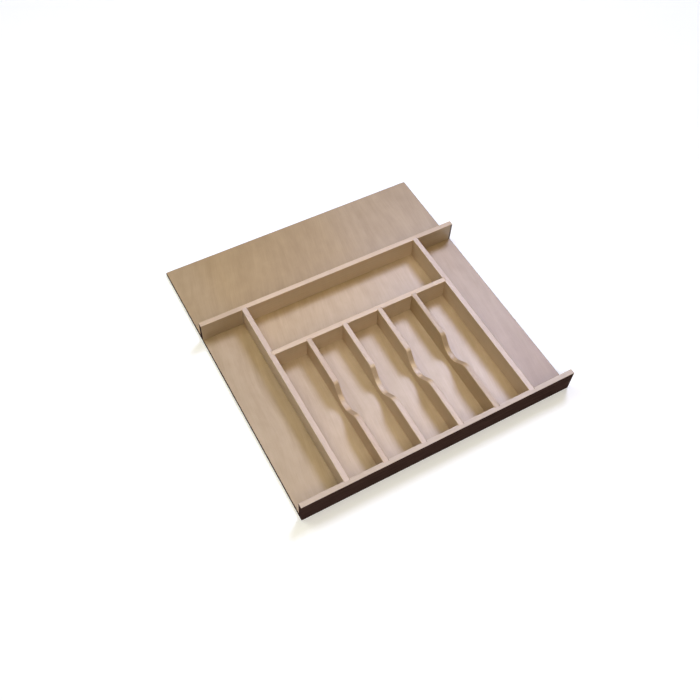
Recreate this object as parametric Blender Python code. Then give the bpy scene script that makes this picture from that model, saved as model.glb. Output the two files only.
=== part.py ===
"""Drawer organizer insert.

A plywood base panel carries three hardwood rails and six hardwood dividers. The rails run across the drawer and
the dividers run front to back. Every divider is housed at its ends in grooves cut across the rails, and every
board is held down by headed brads driven up through the panel.

Metres, +Z up. +X is to the right and +Y is to the back of the drawer. The origin is at the centre of the
panel's underside.
"""

import math

import bmesh
import bpy

# Driving dimensions
WIDTH = 0.5239
DEPTH = 0.5588
HEIGHT = 0.0476
PANEL_THICKNESS = 0.00635
STOCK = 0.0095  # thickness of every rail and divider
SLOT_WIDTH = 0.0617  # clear width of one cutlery slot
SLOT_COUNT = 5
BACK_RAIL_FACE = 0.1046  # y of the back rail's front face
MIDDLE_RAIL_FACE = -0.0074  # y of the middle rail's front face

# Joinery
HOUSING_DEPTH = 0.0030
GAP = 0.0003  # clearance wherever two pieces meet

# Finger notch in each slot divider
NOTCH_CENTRE = -0.1393  # y of its lowest point
NOTCH_DEPTH = 0.0250
NOTCH_BACK = {"floor_radius": 0.028, "slope": math.radians(48), "shoulder_radius": 0.012}
NOTCH_FRONT = {"floor_radius": 0.024, "slope": math.radians(41), "shoulder_radius": 0.024}
NOTCH_ARC_STEP = math.radians(8)

# Brads, driven up from below
BRAD_LENGTH = 0.0200
BRAD_RADIUS = 0.000625
BRAD_HEAD_RADIUS = 0.0011
BRAD_HEAD_THICKNESS = 0.0009
BRAD_RECESS = 0.0004  # how far a head is sunk into the underside
BRAD_POINT = 0.0015
BRAD_SIDES = 8
CUTTER_OVERRUN = 0.0010

# Worked out from the above
BOARD_BOTTOM = PANEL_THICKNESS + GAP
BOARD_HEIGHT = HEIGHT - BOARD_BOTTOM
FRONT_FACE = -DEPTH / 2
FRONT_RAIL_BACK = FRONT_FACE + STOCK
PITCH = SLOT_WIDTH + STOCK
LONG_DIVIDER_X = PITCH * SLOT_COUNT / 2
TONGUE = HOUSING_DEPTH - GAP  # how far a board's end reaches into its groove
SLOT_DIVIDER_XS = [PITCH * (i + 1) - LONG_DIVIDER_X for i in range(SLOT_COUNT - 1)]

MAPLE = ("maple", (0.72, 0.58, 0.45), 0.45, 0.0)
PLYWOOD = ("plywood", (0.66, 0.52, 0.40), 0.50, 0.0)
STEEL = ("steel", (0.55, 0.55, 0.56), 0.35, 1.0)


def clear_scene():
    for obj in list(bpy.data.objects):
        bpy.data.objects.remove(obj, do_unlink=True)


def get_material(spec):
    name, colour, roughness, metallic = spec
    if name in bpy.data.materials:
        return bpy.data.materials[name]
    material = bpy.data.materials.new(name)
    material.use_nodes = True
    shader = material.node_tree.nodes["Principled BSDF"]
    shader.inputs["Base Color"].default_value = (*colour, 1.0)
    shader.inputs["Roughness"].default_value = roughness
    shader.inputs["Metallic"].default_value = metallic
    return material


def add_object(name, bm, location, material):
    bmesh.ops.recalc_face_normals(bm, faces=bm.faces)
    mesh = bpy.data.meshes.new(name)
    bm.to_mesh(mesh)
    bm.free()
    obj = bpy.data.objects.new(name, mesh)
    obj.location = location
    if material:
        mesh.materials.append(get_material(material))
    bpy.context.collection.objects.link(obj)
    return obj


def extrude_outline(corners, direction):
    """Fill a closed outline as one face and extrude it along the direction."""
    bm = bmesh.new()
    face = bm.faces.new([bm.verts.new(corner) for corner in corners])
    swept = bmesh.ops.extrude_face_region(bm, geom=[face])
    top = [item for item in swept["geom"] if isinstance(item, bmesh.types.BMVert)]
    bmesh.ops.translate(bm, verts=top, vec=direction)
    return bm


def grooved_plan(length, groove_centres):
    """Plan of a board from 0 to STOCK across and centred along its length, as (along, across) pairs.

    The grooves are cut into the side at 0, each wide enough for the end of a board of the same stock.
    """
    half_groove = STOCK / 2 + GAP
    plan = [(-length / 2, STOCK), (-length / 2, 0)]
    for centre in sorted(groove_centres):
        plan.append((centre - half_groove, 0))
        plan.append((centre - half_groove, HOUSING_DEPTH))
        plan.append((centre + half_groove, HOUSING_DEPTH))
        plan.append((centre + half_groove, 0))
    plan += [(length / 2, 0), (length / 2, STOCK)]
    return plan


def add_rail(name, length, face_y, back_y, groove_centres):
    """A rail across the drawer. Its grooves are cut into the face at face_y and it is STOCK thick towards back_y."""
    towards_back = math.copysign(1.0, back_y - face_y)
    plan = grooved_plan(length, groove_centres)
    bm = extrude_outline([(x, towards_back * y, 0) for x, y in plan], (0, 0, BOARD_HEIGHT))
    return add_object(name, bm, (0, face_y, BOARD_BOTTOM), MAPLE)


def add_long_divider(name, side):
    """A full divider from the front rail to the back rail, grooved on its inner face for the middle rail's end."""
    front = FRONT_RAIL_BACK - TONGUE
    back = BACK_RAIL_FACE + TONGUE
    middle = (front + back) / 2
    plan = grooved_plan(back - front, [MIDDLE_RAIL_FACE + STOCK / 2 - middle])
    inner_face = side * (LONG_DIVIDER_X - STOCK / 2)
    bm = extrude_outline([(side * x, y, 0) for y, x in plan], (0, 0, BOARD_HEIGHT))
    return add_object(name, bm, (inner_face, middle, BOARD_BOTTOM), MAPLE)


def notch_side(side, radii):
    """Half of the notch from the board's top down to its floor, as (y, z) from the notch's lowest point.

    A convex shoulder arc turns down to the slope, and a concave arc brings the slope to the level floor.
    """
    floor_radius = radii["floor_radius"]
    slope = radii["slope"]
    shoulder_radius = radii["shoulder_radius"]
    arcs_drop = (floor_radius + shoulder_radius) * (1 - math.cos(slope))
    straight = (NOTCH_DEPTH - arcs_drop) / math.sin(slope)
    run = (floor_radius + shoulder_radius) * math.sin(slope) + straight * math.cos(slope)
    steps = math.ceil(slope / NOTCH_ARC_STEP)
    angles = [slope * i / steps for i in range(steps + 1)]
    shoulder = [
        (run - shoulder_radius * math.sin(a), NOTCH_DEPTH - shoulder_radius * (1 - math.cos(a))) for a in angles
    ]
    floor = [(floor_radius * math.sin(a), floor_radius * (1 - math.cos(a))) for a in reversed(angles)]
    return [(side * y, z) for y, z in shoulder + floor]


def add_slot_divider(name, x):
    """A divider between two cutlery slots, with a finger notch in its top edge."""
    front = FRONT_RAIL_BACK - TONGUE
    back = MIDDLE_RAIL_FACE + TONGUE
    notch_floor = BOARD_HEIGHT - NOTCH_DEPTH
    falling = notch_side(1, NOTCH_BACK)
    rising = list(reversed(notch_side(-1, NOTCH_FRONT)))[1:]
    profile = [(front, 0), (back, 0), (back, BOARD_HEIGHT)]
    profile += [(NOTCH_CENTRE + y, notch_floor + z) for y, z in falling + rising]
    profile.append((front, BOARD_HEIGHT))
    bm = extrude_outline([(-STOCK / 2, y, z) for y, z in profile], (STOCK, 0, 0))
    return add_object(name, bm, (x, 0, BOARD_BOTTOM), MAPLE)


def add_turned_solid(bm, profile, centre):
    """Turn a profile of (radius, z) about an upright axis and close it. The last point is on the axis."""
    x, y = centre
    rings = []
    for radius, z in profile[:-1]:
        turns = [2 * math.pi * i / BRAD_SIDES for i in range(BRAD_SIDES)]
        rings.append([bm.verts.new((x + radius * math.cos(t), y + radius * math.sin(t), z)) for t in turns])
    for lower, upper in zip(rings, rings[1:]):
        for i in range(BRAD_SIDES):
            j = (i + 1) % BRAD_SIDES
            bm.faces.new((lower[i], lower[j], upper[j], upper[i]))
    bm.faces.new(list(reversed(rings[0])))
    tip = bm.verts.new((x, y, profile[-1][1]))
    for i in range(BRAD_SIDES):
        bm.faces.new((rings[-1][i], rings[-1][(i + 1) % BRAD_SIDES], tip))


def brad_profile(clearance):
    """Outline of a brad grown by the clearance. With a clearance it is the hole that the brad sits in."""
    head_start = -CUTTER_OVERRUN if clearance else BRAD_RECESS
    shank = BRAD_RADIUS + clearance
    head = BRAD_HEAD_RADIUS + clearance
    head_end = BRAD_RECESS + BRAD_HEAD_THICKNESS + clearance
    tip = BRAD_RECESS + BRAD_LENGTH + clearance
    return [(head, head_start), (head, head_end), (shank, head_end), (shank, tip - BRAD_POINT), (0, tip)]


def brad_places():
    """Where the brads are driven, as board name to a list of (x, y)."""
    front_rail_y = FRONT_FACE + STOCK / 2
    back_rail_y = BACK_RAIL_FACE + STOCK / 2
    middle_rail_y = MIDDLE_RAIL_FACE + STOCK / 2
    rail_xs = [-0.2300, -0.1424, 0.0, 0.1424, 0.2300]
    long_ys = [-0.2200, -0.0800, 0.0600]
    slot_ys = [-0.2300, -0.0500]
    places = {
        "front_rail": [(x, front_rail_y) for x in rail_xs],
        "back_rail": [(x, back_rail_y) for x in rail_xs],
        "middle_rail": [(x, middle_rail_y) for x in (-0.1424, 0.0, 0.1424)],
        "left_divider": [(-LONG_DIVIDER_X, y) for y in long_ys],
        "right_divider": [(LONG_DIVIDER_X, y) for y in long_ys],
    }
    for number, x in enumerate(SLOT_DIVIDER_XS, start=1):
        places[f"slot_divider_{number}"] = [(x, y) for y in slot_ys]
    return places


def add_brads(places):
    """One headed brad at each place, sharing one mesh."""
    bm = bmesh.new()
    add_turned_solid(bm, brad_profile(0.0), (0, 0))
    first = add_object("brad_shape", bm, (0, 0, 0), STEEL)
    first.data.shade_smooth()
    first.data.set_sharp_from_angle(angle=math.radians(50))
    mesh = first.data
    bpy.data.objects.remove(first, do_unlink=True)
    for board, spots in places.items():
        for number, (x, y) in enumerate(spots, start=1):
            brad = bpy.data.objects.new(f"{board}_brad_{number}", mesh)
            brad.location = (x, y, 0)
            bpy.context.collection.objects.link(brad)


def add_brad_holes(places):
    """The cutter for every brad's hole, kept out of the model."""
    bm = bmesh.new()
    for spots in places.values():
        for spot in spots:
            add_turned_solid(bm, brad_profile(GAP), spot)
    cutter = add_object("brad_holes", bm, (0, 0, 0), None)
    cutter.hide_render = True
    cutter.display_type = "WIRE"
    return cutter


def cut(board, cutter):
    holes = board.modifiers.new("brad holes", "BOOLEAN")
    holes.operation = "DIFFERENCE"
    holes.solver = "EXACT"
    holes.object = cutter


def add_base_panel():
    corners = [(-WIDTH / 2, -DEPTH / 2, 0), (WIDTH / 2, -DEPTH / 2, 0), (WIDTH / 2, DEPTH / 2, 0)]
    corners.append((-WIDTH / 2, DEPTH / 2, 0))
    bm = extrude_outline(corners, (0, 0, PANEL_THICKNESS))
    return add_object("base_panel", bm, (0, 0, 0), PLYWOOD)


def build():
    clear_scene()
    long_xs = [-LONG_DIVIDER_X, LONG_DIVIDER_X]
    middle_length = 2 * (LONG_DIVIDER_X - STOCK / 2 + TONGUE)
    boards = [
        add_base_panel(),
        add_rail("front_rail", WIDTH, FRONT_RAIL_BACK, FRONT_FACE, long_xs + SLOT_DIVIDER_XS),
        add_rail("middle_rail", middle_length, MIDDLE_RAIL_FACE, MIDDLE_RAIL_FACE + STOCK, SLOT_DIVIDER_XS),
        add_rail("back_rail", WIDTH, BACK_RAIL_FACE, BACK_RAIL_FACE + STOCK, long_xs),
        add_long_divider("left_divider", -1),
        add_long_divider("right_divider", 1),
    ]
    for number, x in enumerate(SLOT_DIVIDER_XS, start=1):
        boards.append(add_slot_divider(f"slot_divider_{number}", x))
    places = brad_places()
    add_brads(places)
    holes = add_brad_holes(places)
    for board in boards:
        cut(board, holes)


build()
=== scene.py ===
import math

import bmesh
import bpy
from mathutils import Matrix, Vector


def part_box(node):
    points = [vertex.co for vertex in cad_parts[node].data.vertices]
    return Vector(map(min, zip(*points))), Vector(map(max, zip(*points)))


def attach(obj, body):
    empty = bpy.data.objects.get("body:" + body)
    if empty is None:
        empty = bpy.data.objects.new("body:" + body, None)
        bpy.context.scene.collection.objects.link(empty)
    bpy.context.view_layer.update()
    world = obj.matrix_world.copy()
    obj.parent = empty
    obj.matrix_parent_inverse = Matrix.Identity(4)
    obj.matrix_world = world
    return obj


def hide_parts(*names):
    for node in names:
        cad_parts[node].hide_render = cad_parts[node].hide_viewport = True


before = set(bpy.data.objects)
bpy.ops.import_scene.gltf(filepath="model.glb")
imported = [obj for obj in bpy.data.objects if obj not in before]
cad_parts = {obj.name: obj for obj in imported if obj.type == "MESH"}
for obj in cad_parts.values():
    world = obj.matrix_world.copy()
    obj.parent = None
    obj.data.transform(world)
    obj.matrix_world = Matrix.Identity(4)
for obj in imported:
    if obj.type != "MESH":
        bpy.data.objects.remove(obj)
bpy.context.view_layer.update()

# Base panel. Quarter-inch plywood with pale rotary-cut face veneers, sawn square, its arrises broken with a
# sanding block. The grain runs front to back, and the sawn edges are painted dark brown as painted shade. The
# brads come up through it from below, each head punched just under the surface.
panel_low, panel_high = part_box("base_panel")
panel_middle = (panel_low + panel_high) / 2
half_width = (panel_high.x - panel_low.x) / 2
half_depth = (panel_high.y - panel_low.y) / 2
PANEL_ARRIS = 0.0010
SHARP_FROM = math.radians(40)
CRISP_FROM = math.radians(50)

PALE_VENEER = (0.508, 0.378, 0.266, 1.0)
WARM_VENEER = (0.395, 0.278, 0.172, 1.0)
PORE_BROWN = (0.32, 0.21, 0.12, 1.0)
VENEER_LEAN = math.radians(8)
VENEER_LACQUER = 0.9
LACQUER_ROUGHNESS = 0.44
GRAIN_RELIEF = 0.00015
# Painted shade for outer faces and sawn ends: the relief of its grain, its dark brown and its grain colour.
PAINTED_SHADE_RELIEF = 0.0002
PAINTED_SHADE_BROWN = (0.060, 0.033, 0.028, 1.0)
PAINTED_SHADE_GRAIN = (0.034, 0.019, 0.016, 1.0)

# The show face is toned by place, and each stretch below is where a tone fades in, in metres. The shelf and
# left-bay tones are painted shade, darker and browner where the lamps' light falls off.
SHELF_PAINTED_SHADE = (0.85, 0.80, 0.64, 1.0)
SHELF_FADE = (0.095, 0.125)
LEFT_BAY_PAINTED_SHADE = (0.89, 0.87, 0.81, 1.0)
LEFT_BAY_FADE = (-0.165, -0.195)
RIGHT_BAY_TONE = (0.82, 0.76, 0.65, 1.0)
RIGHT_BAY_FADE = (0.165, 0.195)
RIGHT_FRONT_TONE = (0.87, 0.81, 0.76, 1.0)
RIGHT_FRONT_FADE = (0.04, -0.24)
HEARTWOOD_TONE = (0.98, 0.95, 0.83, 1.0)
HEARTWOOD_LEFT_FADE = (-0.23, -0.17)
HEARTWOOD_RIGHT_FADE = (0.12, 0.03)
HEARTWOOD_FRONT_FADE = (-0.012, 0.012)


def shader_tree(name):
    """A new material, its node tree and its Principled shader."""
    material = bpy.data.materials.new(name)
    material.use_nodes = True
    tree = material.node_tree
    return material, tree, tree.nodes["Principled BSDF"]


def wire(tree, kind, settings=None, output=0, **inputs):
    """One shader node. An input is a value or another node's output, and is named for its socket or, where
    sockets share a name, numbered as i0, i1 and so on."""
    node = tree.nodes.new("ShaderNode" + kind)
    for key, value in (settings or {}).items():
        setattr(node, key, value)
    for key, value in inputs.items():
        by_number = key[0] == "i" and key[1:].isdigit()
        socket = node.inputs[int(key[1:]) if by_number else key.replace("_", " ")]
        if isinstance(value, bpy.types.NodeSocket):
            tree.links.new(value, socket)
        else:
            socket.default_value = value
    return node.outputs[output]


def calc(tree, operation, *values, clamp=False):
    settings = {"operation": operation, "use_clamp": clamp}
    return wire(tree, "Math", settings, **{f"i{place}": value for place, value in enumerate(values)})


def part_of(tree, axis, vector):
    return wire(tree, "SeparateXYZ", output=axis, Vector=vector)


def own_place(tree):
    return wire(tree, "TexCoord", output="Object")


def own_facing(tree):
    """Which way the surface faces, on the piece's own axes."""
    return wire(tree, "TexCoord", output="Normal")


def stretched(tree, place, scale):
    return wire(tree, "VectorMath", {"operation": "MULTIPLY"}, i0=place, i1=scale)


def speckle(tree, place, scale, detail=3.0, roughness=0.55):
    """Noise over a stretched place, from 0 to 1."""
    spread = stretched(tree, place, scale)
    return wire(tree, "TexNoise", Vector=spread, Scale=1.0, Detail=detail, Roughness=roughness)


def ramp(tree, value, low, high, to_low=0.0, to_high=1.0):
    """The value carried smoothly from low..high to to_low..to_high."""
    return wire(
        tree, "MapRange", {"interpolation_type": "SMOOTHSTEP"},
        Value=value, From_Min=low, From_Max=high, To_Min=to_low, To_Max=to_high,
    )


def blend_colours(tree, share, first, second, mode="MIX"):
    settings = {"data_type": "RGBA", "blend_type": mode}
    return wire(tree, "Mix", settings, output=2, i0=share, i6=first, i7=second)


def place_in_board(tree, seed):
    """A piece's own coordinates, moved by its seed so that no two pieces have the same grain."""
    shift = (seed * 1.37, seed * 0.83, seed * 0.59)
    return wire(tree, "VectorMath", {"operation": "ADD"}, i0=own_place(tree), i1=shift)


def weighed(tree, tone, grains):
    """The tone pushed up and down by each grain, which runs from 0 to 1, as far as its weight says."""
    for grain, weight in grains:
        centred = calc(tree, "SUBTRACT", grain, 0.5)
        tone = calc(tree, "MULTIPLY_ADD", centred, weight, tone)
    return tone


def darken_pores(tree, colour, pore):
    return blend_colours(tree, ramp(tree, pore, 0.62, 0.80, 0.0, 0.30), colour, PORE_BROWN)


def lacquer(tree, shader, colour, fibre, pore, roughness, coat):
    """Satin lacquer, through which the fibres and the pores can just be felt."""
    tree.links.new(colour, shader.inputs["Base Color"])
    tree.links.new(ramp(tree, fibre, 0.2, 0.8, *roughness), shader.inputs["Roughness"])
    relief = calc(tree, "MULTIPLY_ADD", pore, -0.6, fibre)
    bump = wire(tree, "Bump", Strength=0.25, Distance=GRAIN_RELIEF, Height=relief)
    tree.links.new(bump, shader.inputs["Normal"])
    shader.inputs["Coat Weight"].default_value = coat
    shader.inputs["Coat Roughness"].default_value = LACQUER_ROUGHNESS


def painted_shade_edge(name, seed, along):
    """Painted shade: matt dark brown for outer faces and ends that fall in shade, with the wood's grain just
    showing through. The grain runs along an axis.
    """
    material, tree, shader = shader_tree(name)
    place = place_in_board(tree, seed)
    streak = speckle(tree, place, [30 if axis == along else 700 for axis in "xyz"])
    cloud = speckle(tree, place, (18, 18, 18), detail=2.0)
    colour = blend_colours(tree, ramp(tree, streak, 0.35, 0.70), PAINTED_SHADE_BROWN, PAINTED_SHADE_GRAIN)
    colour = blend_colours(tree, ramp(tree, cloud, 0.3, 0.8, 0.0, 0.35), colour, PAINTED_SHADE_GRAIN)
    bump = wire(tree, "Bump", Strength=0.35, Distance=PAINTED_SHADE_RELIEF, Height=streak)
    tree.links.new(colour, shader.inputs["Base Color"])
    tree.links.new(ramp(tree, streak, 0.3, 0.7, 0.50, 0.66), shader.inputs["Roughness"])
    tree.links.new(bump, shader.inputs["Normal"])
    shader.inputs["Specular IOR Level"].default_value = 0.0
    return material


def tone_and_painted_shade_by_place(tree, colour):
    """The veneer's colour by place, on faces turned upwards. Painted shade makes it darker and browner on the
    rear shelf and in the left bay. It is darker in the right bay, most towards the front, and a little
    yellower over the heartwood from the left to the middle of the tray and the shelf. The underside keeps its
    first colour."""
    place = own_place(tree)
    across = part_of(tree, "X", place)
    along = part_of(tree, "Y", place)
    on_shelf = ramp(tree, along, *SHELF_FADE)
    before_shelf = calc(tree, "SUBTRACT", 1.0, on_shelf)
    right_bay = ramp(tree, across, *RIGHT_BAY_FADE)
    heart_right = ramp(tree, across, *HEARTWOOD_RIGHT_FADE)
    heart_front = ramp(tree, along, *HEARTWOOD_FRONT_FADE)
    within_heart = calc(tree, "MULTIPLY", heart_right, heart_front)
    # Painted shade: the shelf and left-bay tones darken where the lamps' light falls off.
    stretches = (
        (SHELF_PAINTED_SHADE, on_shelf, None),
        (LEFT_BAY_PAINTED_SHADE, ramp(tree, across, *LEFT_BAY_FADE), before_shelf),
        (RIGHT_BAY_TONE, right_bay, before_shelf),
        (RIGHT_FRONT_TONE, right_bay, ramp(tree, along, *RIGHT_FRONT_FADE)),
        (HEARTWOOD_TONE, ramp(tree, across, *HEARTWOOD_LEFT_FADE), within_heart),
    )
    show_face = ramp(tree, part_of(tree, "Z", own_facing(tree)), 0.0, 0.5)
    for tone, reach, limit in stretches:
        if limit is not None:
            reach = calc(tree, "MULTIPLY", reach, limit)
        reach = calc(tree, "MULTIPLY", reach, show_face)
        colour = blend_colours(tree, reach, colour, tone, "MULTIPLY")
    return colour


def face_veneer(name, seed):
    """Rotary-cut face veneer: wide wandering flames, fine fibres along them, short pores and soft clouds."""
    material, tree, shader = shader_tree(name)
    place = place_in_board(tree, seed)
    lean = wire(tree, "VectorRotate", {"rotation_type": "Z_AXIS"}, Vector=place, Angle=VENEER_LEAN)
    drift_place = stretched(tree, lean, (5, 2.5, 5))
    drift = wire(tree, "TexNoise", output="Color", Vector=drift_place, Scale=1.0, Detail=1.0)
    lean = wire(tree, "VectorMath", {"operation": "MULTIPLY_ADD"}, i0=drift, i1=(0.10, 0.0, 0.0), i2=lean)
    flame = wire(
        tree, "TexWave", {"wave_type": "BANDS", "bands_direction": "X", "wave_profile": "SIN"}, output="Fac",
        Vector=stretched(tree, lean, (1, 0.16, 1)), Scale=6.0, Distortion=9.0, Detail=3.0,
        Detail_Scale=5.0, Detail_Roughness=0.62,
    )
    fibre = speckle(tree, lean, (520, 16, 520), detail=4.0, roughness=0.65)
    pore = speckle(tree, lean, (1500, 45, 1500), detail=1.0)
    streak = speckle(tree, lean, (120, 9, 120), detail=2.0)
    cloud = speckle(tree, lean, (22, 9, 22), detail=3.0)
    wander = speckle(tree, lean, (9, 2.2, 9), detail=2.0)
    mottle = speckle(tree, lean, (70, 45, 70), detail=2.0)
    tone = calc(tree, "MULTIPLY_ADD", flame, 0.26, -0.01)
    tone = weighed(tree, tone, ((fibre, 0.85), (streak, 0.45), (cloud, 0.75), (wander, 0.35), (mottle, 0.70)))
    tone = calc(tree, "ADD", tone, 0.25, clamp=True)
    colour = blend_colours(tree, tone, PALE_VENEER, WARM_VENEER)
    colour = darken_pores(tree, colour, pore)
    colour = tone_and_painted_shade_by_place(tree, colour)
    lacquer(tree, shader, colour, fibre, pore, (0.40, 0.52), VENEER_LACQUER)
    return material


def extruded(outline, direction):
    """Fills a closed outline and extrudes it into a solid."""
    bm = bmesh.new()
    face = bm.faces.new([bm.verts.new(corner) for corner in outline])
    swept = bmesh.ops.extrude_face_region(bm, geom=[face])
    top = [item for item in swept["geom"] if isinstance(item, bmesh.types.BMVert)]
    bmesh.ops.translate(bm, verts=top, vec=direction)
    bmesh.ops.recalc_face_normals(bm, faces=bm.faces)
    return bm


def ease_arrises(bm, radius, wanted, segments=3):
    """Rounds the sharp edges that wanted() picks."""
    sharp = [edge for edge in bm.edges if edge.calc_face_angle(0) > SHARP_FROM and wanted(edge)]
    bmesh.ops.bevel(
        bm, geom=sharp, offset=radius, offset_type="OFFSET", segments=segments, profile=0.5, affect="EDGES",
        clamp_overlap=True,
    )


def made_piece(name, bm, finishes, place=Matrix.Identity(4)):
    mesh = bpy.data.meshes.new(name)
    bm.to_mesh(mesh)
    bm.free()
    for finish in finishes:
        mesh.materials.append(finish)
    piece = bpy.data.objects.new(name, mesh)
    bpy.context.scene.collection.objects.link(piece)
    piece.matrix_world = place
    return piece


def turned(bm, profile, centre, sides):
    """Turns a profile of (radius, z) about an upright axis. Its first ring is closed flat and its last is a
    point."""
    rings = []
    for radius, z in profile[:-1]:
        turns = [2 * math.pi * i / sides for i in range(sides)]
        circle = [(centre[0] + radius * math.cos(t), centre[1] + radius * math.sin(t), z) for t in turns]
        rings.append([bm.verts.new(point) for point in circle])
    for lower, upper in zip(rings, rings[1:]):
        for i in range(sides):
            bm.faces.new((lower[i], lower[i - 1], upper[i - 1], upper[i]))
    bm.faces.new(rings[0])
    tip = bm.verts.new((*centre, profile[-1][1]))
    for i in range(sides):
        bm.faces.new((rings[-1][i], rings[-1][i - 1], tip))
    bmesh.ops.recalc_face_normals(bm, faces=bm.faces)


brad_nodes = sorted(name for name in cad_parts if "_brad_" in name)
brad_low, brad_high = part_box(brad_nodes[0])
BRAD_HEAD = (brad_high.x - brad_low.x) / 2
BRAD_SHANK = 0.000625
BRAD_HEAD_DEPTH = 0.0009
BRAD_POINT_LENGTH = 0.0015
BRAD_FACETS = 20
WOOD_GRIP = 0.00004
DRILL_OVERRUN = 0.001


def brad_centre(node):
    low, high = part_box(node)
    return ((low.x + high.x) / 2, (low.y + high.y) / 2)


def brad_hole_profile():
    head_end = brad_low.z + BRAD_HEAD_DEPTH + WOOD_GRIP
    shank_end = brad_high.z - BRAD_POINT_LENGTH + WOOD_GRIP
    head = BRAD_HEAD + WOOD_GRIP
    shank = BRAD_SHANK + WOOD_GRIP
    tip = (0, brad_high.z + WOOD_GRIP)
    return [(head, -DRILL_OVERRUN), (head, head_end), (shank, head_end), (shank, shank_end), tip]


def drill_for_brads(piece, brads):
    bm = bmesh.new()
    for brad in brads:
        turned(bm, brad_hole_profile(), brad_centre(brad), BRAD_FACETS)
    drill = made_piece("drill", bm, [])
    holes = piece.modifiers.new("brad holes", "BOOLEAN")
    holes.operation = "DIFFERENCE"
    holes.solver = "EXACT"
    holes.object = drill
    bpy.context.view_layer.update()
    cut_mesh = bpy.data.meshes.new_from_object(piece.evaluated_get(bpy.context.evaluated_depsgraph_get()))
    piece.modifiers.clear()
    piece.data = cut_mesh
    bpy.data.objects.remove(drill, do_unlink=True)


def smooth_shade(piece):
    """Smooth shading that keeps flat faces flat and square corners crisp."""
    piece.data.shade_smooth()
    piece.data.set_sharp_from_angle(angle=CRISP_FROM)
    flat_faces = piece.modifiers.new("flat faces", "WEIGHTED_NORMAL")
    flat_faces.keep_sharp = True


def fit_wood(name, bm, finishes, place, node, brads):
    """Makes a wooden piece, drills it for its brads and puts it in the place of its node."""
    piece = made_piece(name, bm, finishes, place)
    drill_for_brads(piece, brads)
    smooth_shade(piece)
    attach(piece, "root")
    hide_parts(node)


front_left = (-half_width, -half_depth, 0)
front_right = (half_width, -half_depth, 0)
back_right = (half_width, half_depth, 0)
back_left = (-half_width, half_depth, 0)
bm = extruded([front_left, front_right, back_right, back_left], (0, 0, panel_high.z - panel_low.z))
ease_arrises(bm, PANEL_ARRIS, lambda edge: True, segments=2)
bm.normal_update()
# Level faces take the veneer. The sawn edges and their arrises take the dark brown painted shade.
for face in bm.faces:
    face.material_index = 0 if abs(face.normal.z) > 0.99 else 1
panel_finishes = [face_veneer("panel_veneer", 1), painted_shade_edge("panel_edge_painted_shade", 2, "y")]
panel_place = Matrix.Translation((panel_middle.x, panel_middle.y, panel_low.z))
fit_wood("panel", bm, panel_finishes, panel_place, "base_panel", brad_nodes)

# Rails. Three maple boards across the drawer, planed to one thickness and crosscut square. The dividers' ends
# are let into grooves across their faces. Every top and end arris is eased. The front rail's outside face and
# the ends of the two full-width rails are painted dark brown as painted shade, as the panel's edges are.
GLUE_LINE = 0.00008
BOARD_ARRIS = 0.0008
HOUSING_DEPTH = 0.0030
JOINT = 0.00010  # room for glue round a board's end in its housing
TINY = 1e-6  # two places closer than this are one place
TONGUE = HOUSING_DEPTH - JOINT
back_rail_low, back_rail_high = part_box("back_rail")
stock = back_rail_high.y - back_rail_low.y
board_bottom = panel_high.z + GLUE_LINE
board_height = back_rail_high.z - board_bottom
between_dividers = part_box("right_divider")[0].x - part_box("left_divider")[1].x

PALE_MAPLE = (0.620, 0.472, 0.338, 1.0)
WARM_MAPLE = (0.508, 0.370, 0.244, 1.0)
END_GRAIN = (0.36, 0.245, 0.155, 1.0)
END_PORE = (0.26, 0.165, 0.095, 1.0)
EVEN_TONE = (1.0, 1.0, 1.0, 1.0)
FRONT_BOARD_TONE = (0.80, 0.82, 0.88, 1.0)
# Painted highlight: the paler, cooler colour of faces turned upwards, and the rails' top tint.
PAINTED_TOP_HIGHLIGHT = (1.17, 1.18, 1.24, 1.0)
RAIL_TOP_HIGHLIGHT = (0.95, 0.95, 0.99, 1.0)
MAPLE_LACQUER = 0.35
MAPLE_GLOSS = 0.35


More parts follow.
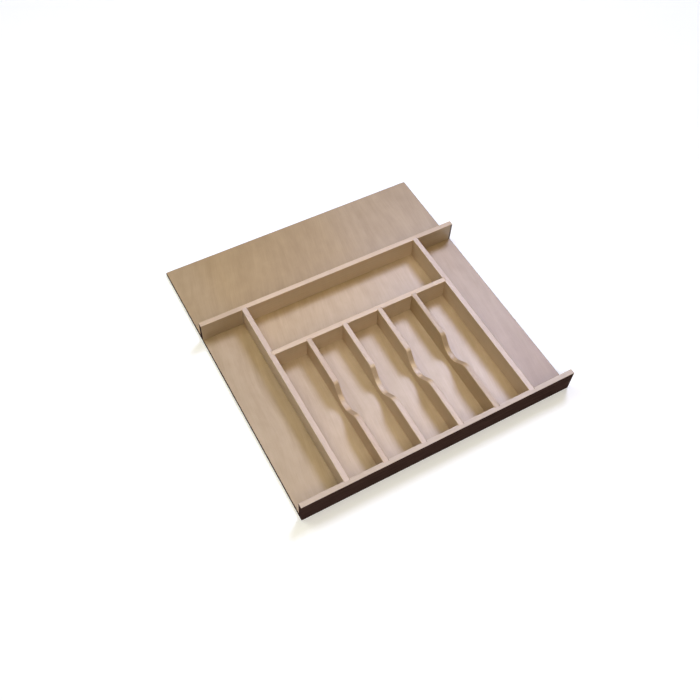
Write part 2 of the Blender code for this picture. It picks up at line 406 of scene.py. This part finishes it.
def maple(name, seed, board_tone=EVEN_TONE, top_highlight=RAIL_TOP_HIGHLIGHT, marks=None):
    """Planed hard maple under satin lacquer. The board's own X runs along the grain."""
    material, tree, shader = shader_tree(name)
    place = place_in_board(tree, seed)
    slant = math.radians(0.8 * math.sin(seed))
    lean = wire(tree, "VectorRotate", {"rotation_type": "Z_AXIS"}, Vector=place, Angle=slant)
    heart = wire(
        tree, "VectorMath", {"operation": "ADD"}, i0=stretched(tree, lean, (0.05, 1, 1)),
        i1=(0, 0.06 + 0.03 * math.sin(seed * 2.1), 0.05 * math.cos(seed * 1.3)),
    )
    ring = wire(
        tree, "TexWave", {"wave_type": "RINGS", "rings_direction": "X", "wave_profile": "SAW"}, output="Fac",
        Vector=heart, Scale=85.0, Distortion=2.4, Detail=3.0, Detail_Scale=18.0, Detail_Roughness=0.6,
    )
    fibre = speckle(tree, lean, (14, 620, 620), detail=4.0, roughness=0.65)
    pore = speckle(tree, lean, (40, 1700, 1700), detail=1.0)
    cloud = speckle(tree, lean, (5, 30, 30), detail=2.0)
    curl = speckle(tree, lean, (110, 14, 14), detail=1.0)
    tone = calc(tree, "MULTIPLY_ADD", ring, 0.24, 0.14)
    tone = weighed(tree, tone, ((fibre, 0.80), (cloud, 0.60), (curl, 0.30)))
    tone = calc(tree, "ADD", tone, 0.06 * math.sin(seed * 3.7), clamp=True)
    colour = blend_colours(tree, tone, PALE_MAPLE, WARM_MAPLE)
    colour = darken_pores(tree, colour, pore)
    colour = blend_colours(tree, 1.0, colour, board_tone, "MULTIPLY")
    # Painted highlight: faces turned upwards, arrises and notch slopes among them, are painted paler and
    # cooler
    #     than the sides, and the level tops take the board's top tint on top of that.
    facing = own_facing(tree)
    upward = part_of(tree, "Z", facing)
    colour = blend_colours(tree, ramp(tree, upward, 0.10, 0.55), colour, PAINTED_TOP_HIGHLIGHT, "MULTIPLY")
    colour = blend_colours(tree, ramp(tree, upward, 0.90, 0.99), colour, top_highlight, "MULTIPLY")
    # Any painted shade that the board carries.
    if marks:
        colour = marks(tree, colour)
    # Cut ends drink more lacquer. A notch's front slope is cut against the grain and is darker than its back
    # slope.
    lengthwise = part_of(tree, "X", facing)
    cut_across = ramp(tree, calc(tree, "ABSOLUTE", lengthwise), 0.45, 1.00)
    against_grain = ramp(tree, lengthwise, 0.35, 0.75, 0.0, 0.75)
    ends = speckle(tree, lean, (900, 2200, 2200), detail=2.0)
    end_colour = blend_colours(tree, ramp(tree, ends, 0.35, 0.7, 0.0, 0.6), END_GRAIN, END_PORE)
    colour = blend_colours(tree, calc(tree, "MAXIMUM", cut_across, against_grain), colour, end_colour)
    lacquer(tree, shader, colour, fibre, pore, (0.38, 0.52), MAPLE_LACQUER)
    shader.inputs["Specular IOR Level"].default_value = MAPLE_GLOSS
    return material


def middle_of(node, axis):
    low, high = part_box(node)
    return (low[axis] + high[axis]) / 2


def brads_into(node):
    return [brad for brad in brad_nodes if brad.startswith(node)]


def grooved_board(length, groove_centres):
    """A board from -length/2 to length/2 along X and 0 to stock across Y, grooved across its face at Y = 0.
    It comes with a test for its outside edges."""
    half_groove = stock / 2 + JOINT
    plan = [(-length / 2, stock), (-length / 2, 0)]
    for centre in sorted(groove_centres):
        plan += [(centre - half_groove, 0), (centre - half_groove, HOUSING_DEPTH)]
        plan += [(centre + half_groove, HOUSING_DEPTH), (centre + half_groove, 0)]
    plan += [(length / 2, 0), (length / 2, stock)]
    bm = extruded([(x, y, 0) for x, y in plan], (0, 0, board_height))

    def outside(edge):
        a, b = (vert.co for vert in edge.verts)
        on_top = min(a.z, b.z) > board_height - TINY
        on_end = abs(a.x - b.x) < TINY and abs(abs(a.x) - length / 2) < TINY
        on_face = abs(a.y - b.y) < TINY and (abs(a.y) < TINY or abs(a.y - stock) < TINY)
        return (on_top and on_face) or on_end

    return bm, outside


def add_rail(name, node, seed, length, groove_nodes, faces_back, painted_shade_faces, **board):
    low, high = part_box(node)
    turn = 1 if faces_back else -1
    bm, outside = grooved_board(length, [-turn * middle_of(other, 0) for other in groove_nodes])
    ease_arrises(bm, BOARD_ARRIS, outside)
    bm.normal_update()
    # The faces that the test picks are painted dark brown as painted shade. The rest are maple.
    for face in bm.faces:
        face.material_index = 1 if painted_shade_faces(face) else 0
    # The board's own Y runs from its grooved face into the wood.
    grooved_face = high.y if faces_back else low.y
    half_turn = Matrix.Rotation(math.pi if faces_back else 0, 4, "Z")
    place = Matrix.Translation((0, grooved_face, board_bottom)) @ half_turn
    finishes = [maple(name + "_maple", seed, **board), painted_shade_edge(name + "_painted_shade", seed, "x")]
    fit_wood(name, bm, finishes, place, node, brads_into(node))


def at_ends(face):
    return abs(face.normal.x) > 0.6


def outside_and_ends(face):
    return at_ends(face) or face.normal.y > 0.6


def nowhere(face):
    return False


# Painted shade on the back rail: darker towards both ends, mostly on its sides, and a dark strip at its right
# end.
RAIL_END_SHADE = (0.68, 0.64, 0.58, 1.0)
RAIL_END_SHADE_START = 0.165
RAIL_END_SHADE_FADE = 0.03
END_STRIP_SHADE = (0.050, 0.028, 0.022, 1.0)
END_STRIP_WIDTH = 0.0050


def back_rail_marks(tree, colour):
    """Painted shade: darker towards both ends, mostly on the sides, and a dark strip at the right end of the
    front face.
    """
    facing = own_facing(tree)
    run = part_of(tree, "X", own_place(tree))
    on_side = ramp(tree, part_of(tree, "Z", facing), 0.50, 0.95, 1.0, 0.45)
    near_end = ramp(tree, calc(tree, "ABSOLUTE", run), RAIL_END_SHADE_START, RAIL_END_SHADE_START + RAIL_END_SHADE_FADE)
    colour = blend_colours(tree, calc(tree, "MULTIPLY", near_end, on_side), colour, RAIL_END_SHADE, "MULTIPLY")
    end_strip = ramp(tree, run, half_width - END_STRIP_WIDTH, half_width - END_STRIP_WIDTH / 2)
    on_front = ramp(tree, part_of(tree, "Y", facing), -0.3, -0.8)
    return blend_colours(tree, calc(tree, "MULTIPLY", end_strip, on_front), colour, END_STRIP_SHADE)


long_dividers = ["left_divider", "right_divider"]
slot_divider_nodes = (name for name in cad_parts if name.startswith("slot_divider"))
slot_dividers = sorted(name for name in slot_divider_nodes if name not in brad_nodes)
add_rail(
    "rail_front", "front_rail", 13, 2 * half_width, long_dividers + slot_dividers, True, outside_and_ends,
    board_tone=FRONT_BOARD_TONE,
)
add_rail("rail_middle", "middle_rail", 14, between_dividers + 2 * TONGUE, slot_dividers, False, nowhere)
add_rail("rail_back", "back_rail", 12, 2 * half_width, long_dividers, False, at_ends, marks=back_rail_marks)

# Long dividers. Two maple boards from the front rail to the back rail, their ends housed in both. Each is
# grooved across its inner face for the end of the middle rail.
# Painted highlight tint for the dividers' level tops.
DIVIDER_TOP_HIGHLIGHT = (0.89, 0.91, 1.08, 1.0)


def add_long_divider(name, node, side):
    """Side is -1 for the left divider and 1 for the right one."""
    low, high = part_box(node)
    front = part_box("front_rail")[1].y - TONGUE
    back = back_rail_low.y + TONGUE
    middle = (front + back) / 2
    inner_face = low.x if side > 0 else high.x
    bm, outside = grooved_board(back - front, [-side * (middle_of("middle_rail", 1) - middle)])

    def on_top_outside(edge):
        a, b = (vert.co for vert in edge.verts)
        level = abs(a.z - b.z) < TINY
        lengthwise = abs(a.x - b.x) > TINY
        return outside(edge) and level and lengthwise

    ease_arrises(bm, BOARD_ARRIS, on_top_outside)
    # The board's own X runs to the front on the right divider and to the back on the left one.
    quarter_turn = Matrix.Rotation(-side * math.pi / 2, 4, "Z")
    place = Matrix.Translation((inner_face, middle, board_bottom)) @ quarter_turn
    finishes = [maple(name + "_maple", 20 + side, top_highlight=DIVIDER_TOP_HIGHLIGHT)]
    fit_wood(name, bm, finishes, place, node, brads_into(node))


add_long_divider("divider_left", "left_divider", -1)
add_long_divider("divider_right", "right_divider", 1)

# Slot dividers. Four maple boards between the cutlery slots, their ends housed in the front and middle rails.
# A finger notch is routed round a template in the top edge of each: steep at the back, level at its floor,
# and rising in a gentle curve to the front.
NOTCH_CENTRE = -0.1393
NOTCH_DEPTH = 0.0250
NOTCH_BACK = (0.028, math.radians(48), 0.012)  # floor radius, slope and shoulder radius
NOTCH_FRONT = (0.024, math.radians(41), 0.024)
NOTCH_ARC_STEP = math.radians(3)
NOTCH_ARRIS = 0.0013
SLOT_DIVIDER_TONES = (
    (0.95, 0.91, 0.86, 1.0),
    (0.98, 0.97, 0.94, 1.0),
    (0.96, 0.94, 0.89, 1.0),
    (0.79, 0.74, 0.63, 1.0),
)


def notch_side(side, shape):
    """Half of the notch from the top down to its floor, as (y, z) from its lowest point."""
    floor_radius, slope, shoulder_radius = shape
    arcs_drop = (floor_radius + shoulder_radius) * (1 - math.cos(slope))
    straight = (NOTCH_DEPTH - arcs_drop) / math.sin(slope)
    run = (floor_radius + shoulder_radius) * math.sin(slope) + straight * math.cos(slope)
    steps = math.ceil(slope / NOTCH_ARC_STEP)
    angles = [slope * i / steps for i in range(steps + 1)]
    points = []
    for angle in angles:
        drop = shoulder_radius * (1 - math.cos(angle))
        points.append((run - shoulder_radius * math.sin(angle), NOTCH_DEPTH - drop))
    for angle in reversed(angles):
        points.append((floor_radius * math.sin(angle), floor_radius * (1 - math.cos(angle))))
    return [(side * y, z) for y, z in points]


def add_slot_divider(number, node, board_tone):
    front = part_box("front_rail")[1].y - TONGUE
    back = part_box("middle_rail")[0].y + TONGUE
    middle = (front + back) / 2
    half = (back - front) / 2
    notch_floor = board_height - NOTCH_DEPTH
    falling = notch_side(1, NOTCH_BACK)
    rising = list(reversed(notch_side(-1, NOTCH_FRONT)))[1:]
    profile = [(-half, 0), (half, 0), (half, board_height)]
    profile += [(NOTCH_CENTRE - middle + y, notch_floor + z) for y, z in falling + rising]
    profile.append((-half, board_height))
    bm = extruded([(x, -stock / 2, z) for x, z in profile], (0, stock, 0))

    def top_arris(edge):
        a, b = (vert.co for vert in edge.verts)
        on_side = abs(a.y - b.y) < TINY
        lengthwise = abs(a.x - b.x) > TINY
        return on_side and lengthwise and min(a.z, b.z) > notch_floor - TINY

    ease_arrises(bm, NOTCH_ARRIS, top_arris)
    name = f"divider_slot_{number}"
    quarter_turn = Matrix.Rotation(math.pi / 2, 4, "Z")
    place = Matrix.Translation((middle_of(node, 0), middle, board_bottom)) @ quarter_turn
    finishes = [maple(name + "_maple", 30 + number, board_tone, DIVIDER_TOP_HIGHLIGHT)]
    fit_wood(name, bm, finishes, place, node, brads_into(node))


for number, (node, board_tone) in enumerate(zip(slot_dividers, SLOT_DIVIDER_TONES), start=1):
    add_slot_divider(number, node, board_tone)

# Brads. Drawn steel wire with an upset flat head and a cut point, driven up through the panel into each board
# and punched just below the panel's underside. Rings rolled into the shank under the head grip the wood.
BRIGHT_STEEL = (0.50, 0.50, 0.51, 1.0)
DULL_STEEL = (0.30, 0.30, 0.31, 1.0)
HEAD_CHAMFER = 0.00012
GRIP_RINGS = 6
GRIP_PITCH = 0.0005
GRIP_WIDTH = 0.00024
GRIP_DEPTH = 0.00006


def drawn_steel():
    material, tree, shader = shader_tree("drawn_steel")
    draw_mark = speckle(tree, own_place(tree), (5000, 5000, 300), detail=2.0)
    tree.links.new(blend_colours(tree, draw_mark, BRIGHT_STEEL, DULL_STEEL), shader.inputs["Base Color"])
    tree.links.new(ramp(tree, draw_mark, 0.2, 0.8, 0.28, 0.50), shader.inputs["Roughness"])
    shader.inputs["Metallic"].default_value = 1.0
    return material


def brad_mesh():
    head_end = brad_low.z + BRAD_HEAD_DEPTH
    rim = BRAD_HEAD - HEAD_CHAMFER
    profile = [(rim, brad_low.z), (BRAD_HEAD, brad_low.z + HEAD_CHAMFER)]
    profile += [(BRAD_HEAD, head_end - HEAD_CHAMFER), (rim, head_end), (BRAD_SHANK, head_end)]
    for ring in range(GRIP_RINGS):
        z = head_end + GRIP_PITCH + ring * GRIP_PITCH
        groove = (BRAD_SHANK - GRIP_DEPTH, z + GRIP_WIDTH / 2)
        profile += [(BRAD_SHANK, z), groove, (BRAD_SHANK, z + GRIP_WIDTH)]
    # The cut point grows blunter towards its tip.
    profile.append((BRAD_SHANK, brad_high.z - BRAD_POINT_LENGTH))
    profile.append((BRAD_SHANK * 0.45, brad_high.z - BRAD_POINT_LENGTH * 0.4))
    profile.append((0, brad_high.z))
    bm = bmesh.new()
    turned(bm, profile, (0, 0), BRAD_FACETS)
    mesh = bpy.data.meshes.new("brad")
    bm.to_mesh(mesh)
    bm.free()
    mesh.materials.append(drawn_steel())
    mesh.shade_smooth()
    mesh.set_sharp_from_angle(angle=SHARP_FROM)
    return mesh


shared_brad = brad_mesh()
for node in brad_nodes:
    brad = bpy.data.objects.new(node.replace("_brad_", "_nail_"), shared_brad)
    bpy.context.scene.collection.objects.link(brad)
    brad.location = (*brad_centre(node), 0)
    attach(brad, "root")
    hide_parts(node)

# Studio. A pale floor under the insert, with backdrop paper standing all round at its edge. A large cool lamp
# hangs beyond the back right corner, with three soft warm fills. The camera looks down over the front left
# corner.
FLOOR_DROP = 0.0002
FLOOR_RADIUS = 12.0
FLOOR_GREY = (0.78, 0.78, 0.80, 1.0)
FLOOR_GLOW = (0.32, 0.90)  # near the insert and far from it
GLOW_FADE = (1.2, 5.0)
BACKDROP_HEIGHT = 14.0
BACKDROP_GLOW = 0.92
ROOM_GLOW = 0.02
STUDIO_WHITE = (0.98, 0.98, 1.0, 1.0)
ROUND_SIDES = 96


def pale_floor():
    material, tree, shader = shader_tree("pale_floor")
    shader.inputs["Base Color"].default_value = FLOOR_GREY
    shader.inputs["Roughness"].default_value = 0.8
    shader.inputs["Specular IOR Level"].default_value = 0.2
    shader.inputs["Emission Color"].default_value = STUDIO_WHITE
    # The lamps' light thins out with distance, and a faint glow takes its place so that the floor stays pale.
    distance = wire(tree, "VectorMath", {"operation": "LENGTH"}, output="Value", i0=own_place(tree))
    tree.links.new(ramp(tree, distance, *GLOW_FADE, *FLOOR_GLOW), shader.inputs["Emission Strength"])
    return material


bm = bmesh.new()
bmesh.ops.create_circle(bm, cap_ends=True, segments=ROUND_SIDES, radius=FLOOR_RADIUS)
floor = made_piece("floor", bm, [pale_floor()], Matrix.Translation((0, 0, -FLOOR_DROP)))


def pale_backdrop():
    """Paper that is lit evenly of itself."""
    material, tree, shader = shader_tree("pale_backdrop")
    shader.inputs["Base Color"].default_value = (0.0, 0.0, 0.0, 1.0)
    shader.inputs["Specular IOR Level"].default_value = 0.0
    shader.inputs["Emission Color"].default_value = STUDIO_WHITE
    shader.inputs["Emission Strength"].default_value = BACKDROP_GLOW
    return material


bm = bmesh.new()
bmesh.ops.create_circle(bm, segments=ROUND_SIDES, radius=FLOOR_RADIUS)
risen = bmesh.ops.extrude_edge_only(bm, edges=bm.edges[:])
top_edge = [item for item in risen["geom"] if isinstance(item, bmesh.types.BMVert)]
bmesh.ops.translate(bm, verts=top_edge, vec=(0, 0, BACKDROP_HEIGHT))
backdrop = made_piece("backdrop", bm, [pale_backdrop()], Matrix.Translation((0, 0, -FLOOR_DROP)))
# The camera sees the paper, but it sends no light onto the insert and casts no shadow.
backdrop.visible_diffuse = False
backdrop.visible_glossy = False
backdrop.visible_shadow = False


def soft_lamp(name, place, size, power, colour):
    """A round soft lamp, aimed at the middle of the insert's underside."""
    lamp_data = bpy.data.lights.new(name, "AREA")
    lamp_data.shape = "DISK"
    lamp_data.size = size
    lamp_data.energy = power
    lamp_data.color = colour
    lamp = bpy.data.objects.new(name, lamp_data)
    bpy.context.scene.collection.objects.link(lamp)
    lamp.location = place
    lamp.rotation_euler = (-lamp.location).to_track_quat("-Z", "Y").to_euler()


soft_lamp("window", (1.68, 1.20, 3.04), 1.12, 82.0, (0.66, 0.71, 1.0))
soft_lamp("ceiling", (0.0, 0.0, 2.40), 1.40, 15.0, (1.0, 0.86, 0.54))
soft_lamp("front_fill", (-0.60, -1.60, 1.90), 1.20, 22.0, (1.0, 0.95, 0.76))
soft_lamp("back_fill", (-1.00, 0.90, 1.90), 1.20, 15.0, (0.96, 1.0, 0.85))

world = bpy.data.worlds.new("room")
world.use_nodes = True
room_light = world.node_tree.nodes["Background"]
room_light.inputs["Color"].default_value = (1.0, 1.0, 1.0, 1.0)
room_light.inputs["Strength"].default_value = ROOM_GLOW
bpy.context.scene.world = world
bpy.context.scene.view_settings.view_transform = "Standard"

CAMERA_PLACE = (-0.4773, -0.7454, 1.2417)
CAMERA_HEADING = math.radians(31.63)  # from +Y towards +X
CAMERA_DIP = math.radians(55.98)
CAMERA_ROLL = math.radians(3.20)
CAMERA_LENS = 43.02

camera_data = bpy.data.cameras.new("camera")
camera_data.lens = CAMERA_LENS
camera = bpy.data.objects.new("camera", camera_data)
bpy.context.scene.collection.objects.link(camera)
ahead = Vector((
    math.sin(CAMERA_HEADING) * math.cos(CAMERA_DIP),
    math.cos(CAMERA_HEADING) * math.cos(CAMERA_DIP),
    -math.sin(CAMERA_DIP),
))
level = Vector((math.cos(CAMERA_HEADING), -math.sin(CAMERA_HEADING), 0))
upright = level.cross(ahead)
right = level * math.cos(CAMERA_ROLL) + upright * math.sin(CAMERA_ROLL)
up = upright * math.cos(CAMERA_ROLL) - level * math.sin(CAMERA_ROLL)
camera.matrix_world = Matrix.Translation(CAMERA_PLACE) @ Matrix((right, up, -ahead)).transposed().to_4x4()
bpy.context.scene.camera = camera
